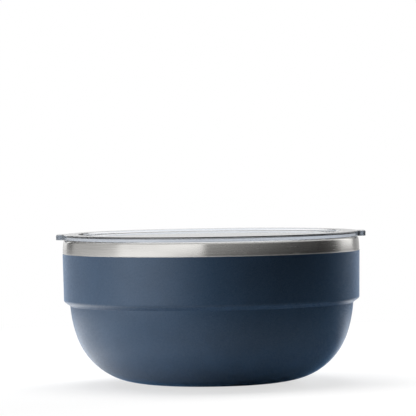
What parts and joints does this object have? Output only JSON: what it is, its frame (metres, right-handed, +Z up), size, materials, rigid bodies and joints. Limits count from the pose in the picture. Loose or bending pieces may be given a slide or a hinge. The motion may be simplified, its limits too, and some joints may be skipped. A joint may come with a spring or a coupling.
{
  "type": "insulated bowl with lid",
  "caption": "Vacuum-insulated steel serving bowl with a stepped, powder-coated wall, a bare steel rim band and a clear drop-in lid with lifting tabs and a silicone seal.",
  "frame": {"origin": "centre of the silicone foot's underside, on the bowl's axis", "axes": "+Z up along the bowl's axis, +X towards one of the lid's two tabs, so the other tab points along -X"},
  "size_m": [0.2598, 0.25, 0.1271],
  "materials": {
    "shell_steel": "brushed round the bowl",
    "liner_steel": "satin, spun round the bowl",
    "weld_steel": "fine ground bead",
    "base_steel": "pressed sheet, satin",
    "coat": "satin powder coat with a fine texture, slate navy",
    "sealing_glass": "dark solder glass",
    "getter": "pressed and sintered pellet",
    "foot_silicone": "matte silicone",
    "clear_plastic": "clear moulded copolyester with a slight cool tint",
    "seal_silicone": "translucent grey silicone"
  },
  "bodies": {
    "bowl": {"outer_shell": "shell_steel", "powder_coat": "coat", "inner_liner": "liner_steel", "rim_weld": "weld_steel", "base_plate": "base_steel", "base_weld": "weld_steel", "vacuum_seal": "sealing_glass", "seal_cover": "base_steel", "getter_pellet": "getter", "getter_strap": "base_steel", "foot_ring": "foot_silicone"},
    "lid": {"lid_panel": "clear_plastic", "lid_seal": "seal_silicone"}
  },
  "joints": [
    {"name": "lid_lift", "type": "slide", "parent": "bowl", "child": "lid", "axis": [0, 0, 1], "range_m": [0, 0.15]}
  ]
}
